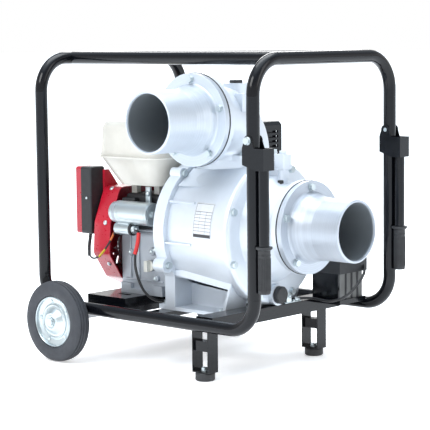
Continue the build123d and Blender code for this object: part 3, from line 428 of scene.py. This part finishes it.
# ---- Cords ------------------------------------------------------------------------------------
STARTER_ROUTE = [
    (-180, -146, 333), (-168, -150, 326), (-164, -155, 302), (-172, -161, 272), (-173, -160, 236),
    (-165, -155, 202), (-153, -147, 172), (-140, -126, 151), (-130, -92, 145), (-112, -56, 142),
    (-72, -22, 140.5), (-20, 2, 140), (32, 22, 140.5), (84, 36, 139), (120, 40, 139), (141, 47, 146.5),
    (153, 65, 157), (156, 84, 159), (165, 104, 159), (181, 117.5, 158.5), (204, 121, 157.5),
    (228, 116.5, 156), (251, 117, 157.5), (270.5, 130, 164), (279, 153, 175), (278, 183, 192),
    (275, 208, 208), (271, 226, 223), (262, 235, 237),
]
HARNESS_ROUTE = [
    (-366, -132, 310), (-367, -134, 292), (-364, -141, 272), (-350, -153, 254), (-324, -164, 247),
    (-296, -169, 256), (-275, -167, 277), (-263, -159, 300), (-258, -150, 320), (-248, -146, 333),
]
starter_cord = line("starter_cord", STARTER_ROUTE, 7)
settle(starter_cord, MATS["cable_black"], "root")
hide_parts("starter_cable")
boot = line("starter_boot", STARTER_ROUTE[1:4], 10.5)
settle(boot, RED_RUBBER, "root")
harness_cord = line("harness_cord", HARNESS_ROUTE, 5)
settle(harness_cord, MATS["cable_black"], "root")
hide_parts("control_harness")
sleeve = line("harness_sleeve", HARNESS_ROUTE[:4], 9)
settle(sleeve, MATS["black_rubber"], "root")
for k, (first, last, mat) in enumerate(((5, 6, YELLOW), (7, 8, ORANGE))):
    wire = line(f"splice_{k}", HARNESS_ROUTE[first:last + 1], 5.8)
    settle(wire, mat, "root")


# ---- Rating label on the drum -----------------------------------------------------------------
DRUM_AXIS_Z = 336.0
SHELL_BACK = (-66.0, 164.0)
SHELL_FRONT = (143.5, 180.0)


def shell_radius(x):
    t = (x - SHELL_BACK[0]) / (SHELL_FRONT[0] - SHELL_BACK[0])
    return SHELL_BACK[1] + t * (SHELL_FRONT[1] - SHELL_BACK[1])


def shell_patch(name, x0, x1, z0, z1, lift, thick):
    """A thin film wrapped on the near side of the drum shell."""
    steps = 14
    verts = []
    for depth in (lift, lift + thick):
        for i in range(steps + 1):
            for j in range(steps + 1):
                x = x0 + (x1 - x0) * i / steps
                z = z0 + (z1 - z0) * j / steps
                r = shell_radius(x) + depth
                verts.append((x * MM, -math.sqrt(r * r - (z - DRUM_AXIS_Z) ** 2) * MM, z * MM))
    n = steps + 1
    layer = n * n
    faces = []
    for i in range(steps):
        for j in range(steps):
            a = i * n + j
            faces.append((a, a + 1, a + n + 1, a + n))
            faces.append((layer + a, layer + a + n, layer + a + n + 1, layer + a + 1))
    for k in range(steps):
        for a, b in ((k, k + 1), (steps * n + k, steps * n + k + 1), (k * n, (k + 1) * n),
                     (k * n + steps, (k + 1) * n + steps)):
            faces.append((a, b, layer + b, layer + a))
    return mesh_object(name, verts, faces)


LABEL_X = (42.0, 107.0)
LABEL_Z = (333.0, 418.0)
label = shell_patch("rating_label", *LABEL_X, *LABEL_Z, 0.1, 0.5)
settle(label, LABEL_WHITE, "root")
INSET = 2.0


def label_rule(name, x0, x1, z0, z1):
    return shell_patch(name, x0, x1, z0, z1, 0.55, 0.2)


inner_x = (LABEL_X[0] + INSET, LABEL_X[1] - INSET)
dark = [
    label_rule("foot_band", *inner_x, LABEL_Z[0] + 1, LABEL_Z[0] + 9),
    label_rule("top_line", *inner_x, LABEL_Z[1] - 3, LABEL_Z[1] - 2.2),
    label_rule("divider", *inner_x, LABEL_Z[1] - 22, LABEL_Z[1] - 21),
    label_rule("side_a", inner_x[0], inner_x[0] + 0.8, LABEL_Z[0] + 1, LABEL_Z[1] - 2.2),
    label_rule("side_b", inner_x[1] - 0.8, inner_x[1], LABEL_Z[0] + 1, LABEL_Z[1] - 2.2),
]
settle(join("label_rules", dark), LABEL_DARK, "root")
grid = [label_rule(f"row{k}", *inner_x, 349 + 8 * k, 350 + 8 * k) for k in range(6)]
grid += [label_rule(f"column{k}", x, x + 0.5, 343, 396) for k, x in enumerate((62, 84))]
settle(join("label_grid", grid), LABEL_GREY, "root")


# ---- Wheels -----------------------------------------------------------------------------------
TYRE_HALF = [
    (18.4, 66.6), (21.6, 72), (22.4, 82), (21.4, 91), (18.2, 98.6), (14.0, 101.9), (13.2, 100.2),
    (11.8, 100.2),
    (11.0, 102.8), (6.6, 103.6), (5.8, 101.8), (4.4, 101.8), (3.6, 103.8),
]
TYRE_PROFILE = TYRE_HALF + [(-d, r) for d, r in reversed(TYRE_HALF)]
LIP_PROFILE = [(16.5, 63.4), (18.9, 63.9), (19.6, 62.6), (18.2, 61.2), (14, 61)]
PRESSED_PROFILE = [(9.0, 45), (12.6, 43.6), (13.4, 41.6), (12.4, 39.4), (9.0, 38.2)]
HUB_PROFILE = [(20, 14.0), (24.6, 14.6), (25.0, 16.4), (22.6, 18.6), (19, 18.4)]


def wheel(side, body, label):
    centre = middle(f"rim_{label}")
    tyre = lathe(f"tyre_tread_{label}", TYRE_PROFILE, centre, Y_AXIS, 128)
    settle(tyre, MATS["tyre_rubber"], body)
    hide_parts(f"tyre_{label}")
    out = Y_AXIS * side
    parts = [
        lathe("lip", LIP_PROFILE, centre, out, 96),
        lathe("pressed", PRESSED_PROFILE, centre, out, 96),
        lathe("hub_ring", HUB_PROFILE, centre, out, 64),
    ]
    for k in range(5):
        a = math.tau * k / 5 + 0.5
        spot = centre + Vector((math.cos(a), 0, math.sin(a))) * (52 * MM)
        parts.append(lathe(
            f"lug{k}", [(6, 0), (6, 6.2), (9.6, 5.6), (12.2, 3.6), (13.0, 0)], spot, out, 24,
        ))
    settle(join(f"wheel_face_{label}", parts), MATS["zinc"], body)


wheel(-1, "wheel_near", "near")
wheel(1, "wheel_far", "far")
for label, sign in (("near", -1), ("far", 1)):
    cap = middle("rim_" + label)
    end = (high("axle_caps").y if sign > 0 else -low("axle_caps").y) / MM
    end -= abs(cap.y) / MM
    plug = lathe(
        f"axle_end_{label}",
        [(end - 3, 0), (end - 3, 8.4), (end - 0.2, 8.4), (end - 0.1, 7.4), (end - 1.2, 0)],
        cap, Y_AXIS * sign, 40,
    )
    settle(plug, MATS["black_rubber"], "root")


# ---- Handle grips -----------------------------------------------------------------------------
GRIP_R = 14.6


def upright(name, centre, angle, r0, r1, width, z0, z1):
    """A tapered upright rib standing on a round grip."""
    out = Vector((math.cos(angle), math.sin(angle), 0))
    side = Vector((-out.y, out.x, 0))
    verts = []
    for z in (z0, z1):
        for r, w in ((r0, width), (r1, width * 0.45)):
            for sign in (-1, 1):
                verts.append((centre + out * r + side * (sign * w / 2) + Z_AXIS * z) * MM)
    faces = [(0, 1, 3, 2), (4, 6, 7, 5), (0, 4, 5, 1), (2, 3, 7, 6), (0, 2, 6, 4), (1, 5, 7, 3)]
    return mesh_object(name, verts, faces, smooth=False)


def grip_ribs(label, body):
    lo, hi = (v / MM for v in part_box(f"handle_arm_{label}"))
    grip_lo, grip_hi = (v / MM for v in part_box(f"handle_grip_{label}"))
    centre = Vector((352.5, (lo.y + hi.y) / 2, 0))
    bottom, top = grip_lo.z + 8, grip_hi.z - 26
    parts = []
    for k in range(-8, 9):
        angle = math.radians(13.5 * k)
        parts.append(upright(f"rib{k}", centre, angle, GRIP_R - 0.4, GRIP_R + 0.9, 2.0, bottom, top))
    settle(join(f"grip_ribs_{label}", parts), MATS["black_rubber"], body)
    ring = []
    ring_z = (grip_hi.z - 20, grip_hi.z - 17.6)
    for k in range(21):
        a0 = math.radians(-115 + 11 * k)
        ring.append(upright(f"seg{k}", centre, a0, GRIP_R - 0.4, GRIP_R + 0.8, 3.2, *ring_z))
    settle(join(f"grip_ring_{label}", ring), MATS["black_rubber"], body)


grip_ribs("near", "handle_near")
grip_ribs("far", "handle_far")


# ---- Starter motor, solenoid and their cable --------------------------------------------------
STARTER = Vector((0, -142.5 * MM, 375 * MM))
SOLENOID = Vector((0, -146 * MM, 333 * MM))
seams = [
    lathe("seam0", [(-131.5, 29.6), (-131.5, 30.5), (-129.3, 30.5), (-129.3, 29.6)], STARTER, X_AXIS),
    lathe("seam1", [(-228, 29.6), (-228, 30.4), (-225.6, 30.4), (-225.6, 29.6)], STARTER, X_AXIS),
    lathe("boss", [(-120, 0), (-120, 7.6), (-118.6, 7.2), (-117.6, 5), (-117.4, 0)], STARTER, X_AXIS, 40),
    lathe("end_ring", [(-124, 22), (-123, 22), (-122.6, 20.6), (-123, 19.2), (-124, 19.2)], STARTER, X_AXIS),
]
for k in range(2):
    a = math.radians(35 + 180 * k)
    spot = STARTER + Vector((0, math.cos(a), math.sin(a))) * (23.4 * MM)
    seams.append(lathe(f"screw{k}", [(-124, 0), (-124, 3.2), (-122.2, 2.8), (-121.6, 0)], spot, X_AXIS, 20))
settle(join("starter_trim", seams), MATS["zinc"], "root")
nose_profile = [(-246, 27.0), (-246, 29.4), (-236.5, 30.3), (-236.5, 27)]
nose = lathe("starter_nose_ring", nose_profile, STARTER, X_AXIS)
settle(nose, MATS["crankcase_grey"], "root")
POST_AXIS = SOLENOID + Vector((0, -4 * MM, 3 * MM))
terminals = [
    lathe("post0", [(-190, 0), (-190, 3.0), (-172, 3.0), (-172, 0)], POST_AXIS, X_AXIS, 20),
    lathe("nut0", [(-184, 0), (-184, 6.0), (-179.5, 6.0), (-179.5, 0)], POST_AXIS, X_AXIS, 6),
    lathe("band0", [(-232, 15.8), (-232, 16.6), (-228, 16.6), (-228, 15.8)], SOLENOID, X_AXIS),
    lathe("band1", [(-200, 15.8), (-200, 16.6), (-196, 16.6), (-196, 15.8)], SOLENOID, X_AXIS),
]
settle(join("solenoid_terminals", terminals), MATS["zinc"], "root")
solenoid_cap = lathe(
    "solenoid_cap", [(-196, 0), (-196, 16.4), (-190, 16.2), (-189.2, 15), (-189.2, 0)], SOLENOID, X_AXIS,
)
settle(solenoid_cap, MATS["black_plastic"], "root")


# ---- Shroud screws, chamber plug, drain cap ring, crossmember latch ---------------------------
def dome_screw(name, place, along, radius, height):
    profile = [
        (-1, 0), (-1, radius), (height * 0.35, radius), (height * 0.8, radius * 0.75),
        (height, radius * 0.3), (height * 0.8, 0),
    ]
    return lathe(name, profile, Vector(place) * MM, along, 28)


plug = soft_box("chamber_plug", (188, -20, 458), (199, 0, 470), 1.5)
settle(plug, MATS["black_rubber"], "root")

latch = [
    soft_box("plate", (165, 26, 154.2), (172.6, 90, 157), 0.9),
    soft_box("tab", (168.5, 34, 156), (172, 52, 182), 1.2),
    soft_box("arm", (164.8, 70, 156), (170, 88, 166), 1.6),
    dome_screw("nut", (170, 62, 156.5), Z_AXIS, 5.0, 5),
    dome_screw("pin", (171.5, 43, 172), X_AXIS, 4.5, 5),
]
settle(join("crossmember_latch", latch), MATS["zinc"], "root")

# Black gasket edges at both hose tails.
EDGE = [(0.2, 113), (0.2, 116.2), (2.8, 116.2), (2.8, 113)]
gasket_edges = [
    lathe("edge_0", EDGE, Vector((261.5, 0, 357)) * MM, X_AXIS, 128),
    lathe("edge_1", EDGE, Vector((36.5, -149.5, 621)) * MM, -Y_AXIS, 128),
]
settle(join("gasket_edges", gasket_edges), MATS["black_rubber"], "root")

drain = middle("drain_cap")
drain_ring = lathe("drain_ring", [(-3, 21), (-3, 25.5), (0.4, 25.5), (1.0, 24.4), (1.0, 21)],
                   Vector((low("drain_cap").x + 6 * MM, drain.y, drain.z)), X_AXIS, 64)
settle(drain_ring, MATS["cast_silver"], "root")

# Ledge and cover screw of the control box.
ledge = soft_box("box_ledge", (-379.5, -153.1, 411.8), (-340.8, -101, 413.6), 0.5)
settle(ledge, MATS["black_plastic"], "root")
box_screw = dome_screw("box_screw", (-358, -152.4, 405), -Y_AXIS, 3.4, 2.4)
settle(box_screw, MATS["zinc"], "root")

shroud_screws = [
    dome_screw("screw_a", (-304, -111, 430), Vector((0, -0.6, 0.8)), 6.5, 4),
    dome_screw("screw_b", (-290, -150.5, 344), Vector((0, -0.97, 0.2)), 6.0, 4),
    dome_screw("screw_c", (-290, -139, 235), Vector((0, -0.83, -0.55)), 6.0, 4),
]
settle(join("shroud_screws", shroud_screws), MATS["zinc"], "root")


# ---- Crankcase castings on the near side, and what shows under the tank -----------------------
CASE_NEAR = -112.0
# Each boss: x, z, then foot radius, rim radius, tip radius, rim height and tip height.
CASE_BOSSES = (
    (-150, 276, 11, 10.4, 9, 10, 12),
    (-134, 282, 8, 7.4, 6, 14, 15),
    (-140, 206, 9, 8.6, 7, 8, 9),
    (-232, 268, 9, 8.6, 7, 6, 7),
)
case_parts = []
for k, (x, z, foot_r, rim_r, tip_r, rim_h, tip_h) in enumerate(CASE_BOSSES):
    profile = [(-2, 0), (-2, foot_r), (rim_h, rim_r), (tip_h, tip_r), (tip_h, 0)]
    case_parts.append(lathe(f"boss{k}", profile, Vector((x, CASE_NEAR, z)) * MM, -Y_AXIS, 36))
case_parts += [
    soft_box("rib_a", (-258, -116, 196), (-118, CASE_NEAR + 2, 200), 1.2),
    soft_box("rib_b", (-236, -116, 200), (-232, CASE_NEAR + 2, 330), 1.2),
    soft_box("rib_c", (-206, -116, 200), (-202, CASE_NEAR + 2, 330), 1.2),
    soft_box("rib_d", (-258, -117, 326), (-118, CASE_NEAR + 2, 331), 1.2),
]
settle(join("crankcase_ribs", case_parts), MATS["crankcase_grey"], "root")
case_bolts = []
for k, (x, z, *_, tip_h) in enumerate(CASE_BOSSES):
    case_bolts.append(dome_screw(f"bolt{k}", (x, CASE_NEAR - tip_h, z), -Y_AXIS, 5.5, 4.5))
settle(join("crankcase_bolts", case_bolts), MATS["zinc"], "root")

top = high("crankcase").z / MM
cover = [
    soft_box("intake", (-264, -100, top - 24), (-112, 24, top + 44), 8),
    soft_box("governor", (-262, -118, top - 6), (-214, -92, top + 34), 5),
]
settle(join("engine_top_cover", cover), MATS["black_plastic"], "root")
bracket = [
    soft_box("plate", (-176, -116, 392), (-160, -108, 442), 2.0),
    soft_box("foot", (-184, -122, 388), (-150, -106, 396), 2.0),
    dome_screw("bolt", (-166, -116, 424), -Y_AXIS, 7, 6),
]
settle(join("tank_bracket", bracket), MATS["zinc"], "root")


# ---- Battery ----------------------------------------------------------------------------------
bat_lo, bat_hi = (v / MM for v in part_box("battery"))
straps = []
for k, y in enumerate((bat_lo.y + 22, bat_lo.y + 46, bat_lo.y + 70)):
    corner = (bat_hi.x + 2.2, y + 6, bat_hi.z - 1)
    straps.append(soft_box(f"strap{k}", (bat_hi.x - 0.5, y, bat_lo.z + 2), corner, 0.9))
settle(join("battery_straps", straps), MATS["black_plastic"], "root")
spot = soft_box(
    "battery_terminal", (bat_hi.x - 4, bat_hi.y - 26, bat_hi.z - 8),
    (bat_hi.x + 3.2, bat_hi.y - 8, bat_hi.z - 1), 1.2,
)
settle(spot, YELLOW, "root")


# ---- Floor, light and camera ------------------------------------------------------------------
def floor():
    size = 60
    obj = mesh_object(
        "studio_floor", [(-size, -size, 0), (size, -size, 0), (size, size, 0), (-size, size, 0)],
        [(0, 1, 2, 3)], smooth=False,
    )
    obj.location.z = -0.2 * MM
    s = Shader("floor_white", (0.95, 0.95, 0.95), 0.8)
    s.put("Emission Color", (1, 1, 1, 1))
    s.put("Emission Strength", 0.42)
    obj.data.materials.append(s.mat)


def area_light(name, place, target, size, power, tint=(1, 1, 1)):
    data = bpy.data.lights.new(name, "AREA")
    data.shape = "RECTANGLE"
    data.size, data.size_y = size
    data.energy = power
    data.color = tint
    obj = bpy.data.objects.new(name, data)
    obj.location = place
    obj.rotation_euler = (Vector(target) - Vector(place)).to_track_quat("-Z", "Y").to_euler()
    bpy.context.scene.collection.objects.link(obj)


def sky():
    world = bpy.data.worlds.new("studio")
    bpy.context.scene.world = world
    world.use_nodes = True
    tree = world.node_tree
    coords = tree.nodes.new("ShaderNodeTexCoord")
    split = tree.nodes.new("ShaderNodeSeparateXYZ")
    ramp = tree.nodes.new("ShaderNodeValToRGB")
    white = (1.0, 1.0, 1.0)
    stops = (
        (0.0, white), (0.62, white), (0.74, (0.48, 0.50, 0.53)), (0.86, (0.60, 0.68, 0.78)),
        (1.0, (3.2, 3.6, 4.0)),
    )
    half = tree.nodes.new("ShaderNodeMapRange")
    half.inputs["From Min"].default_value = -1
    while len(ramp.color_ramp.elements) < len(stops):
        ramp.color_ramp.elements.new(0.5)
    for element, (at, tint) in zip(ramp.color_ramp.elements, stops):
        element.position = at
        element.color = (*tint, 1)
    tree.links.new(coords.outputs["Generated"], split.inputs["Vector"])
    tree.links.new(split.outputs["Z"], half.inputs["Value"])
    tree.links.new(half.outputs["Result"], ramp.inputs["Fac"])
    tree.links.new(ramp.outputs["Color"], tree.nodes["Background"].inputs["Color"])
    tree.nodes["Background"].inputs["Strength"].default_value = 1.0


def camera():
    data = bpy.data.cameras.new("camera")
    data.lens = 139.25
    data.sensor_width = 36
    obj = bpy.data.objects.new("camera", data)
    azimuth, elevation, roll = (math.radians(v) for v in (42.44, 6.19, -0.60))
    flat = math.cos(elevation)
    back = Vector((math.sin(azimuth) * flat, -math.cos(azimuth) * flat, math.sin(elevation)))
    right = Z_AXIS.cross(back).normalized()
    up = back.cross(right)
    turned_right = right * math.cos(roll) + up * math.sin(roll)
    turned_up = up * math.cos(roll) - right * math.sin(roll)
    rotation = Matrix((turned_right, turned_up, back)).transposed()
    obj.matrix_world = Matrix.Translation((2.8312, -3.1397, 0.8288)) @ rotation.to_4x4()
    bpy.context.scene.collection.objects.link(obj)
    bpy.context.scene.camera = obj


floor()
sky()
area_light("key", (-0.3, -2.6, 2.3), (0, 0, 0.35), (1.6, 1.2), 50)
area_light("side", (2.6, 0.6, 1.7), (0.1, 0, 0.35), (1.0, 1.6), 12)
area_light("top", (-0.3, 0.2, 2.6), (0, 0, 0.3), (2.0, 1.4), 30)
area_light("back", (-1.8, 2.0, 1.6), (0, 0, 0.4), (1.2, 1.2), 22)
bpy.context.scene.view_settings.view_transform = "Standard"
camera()
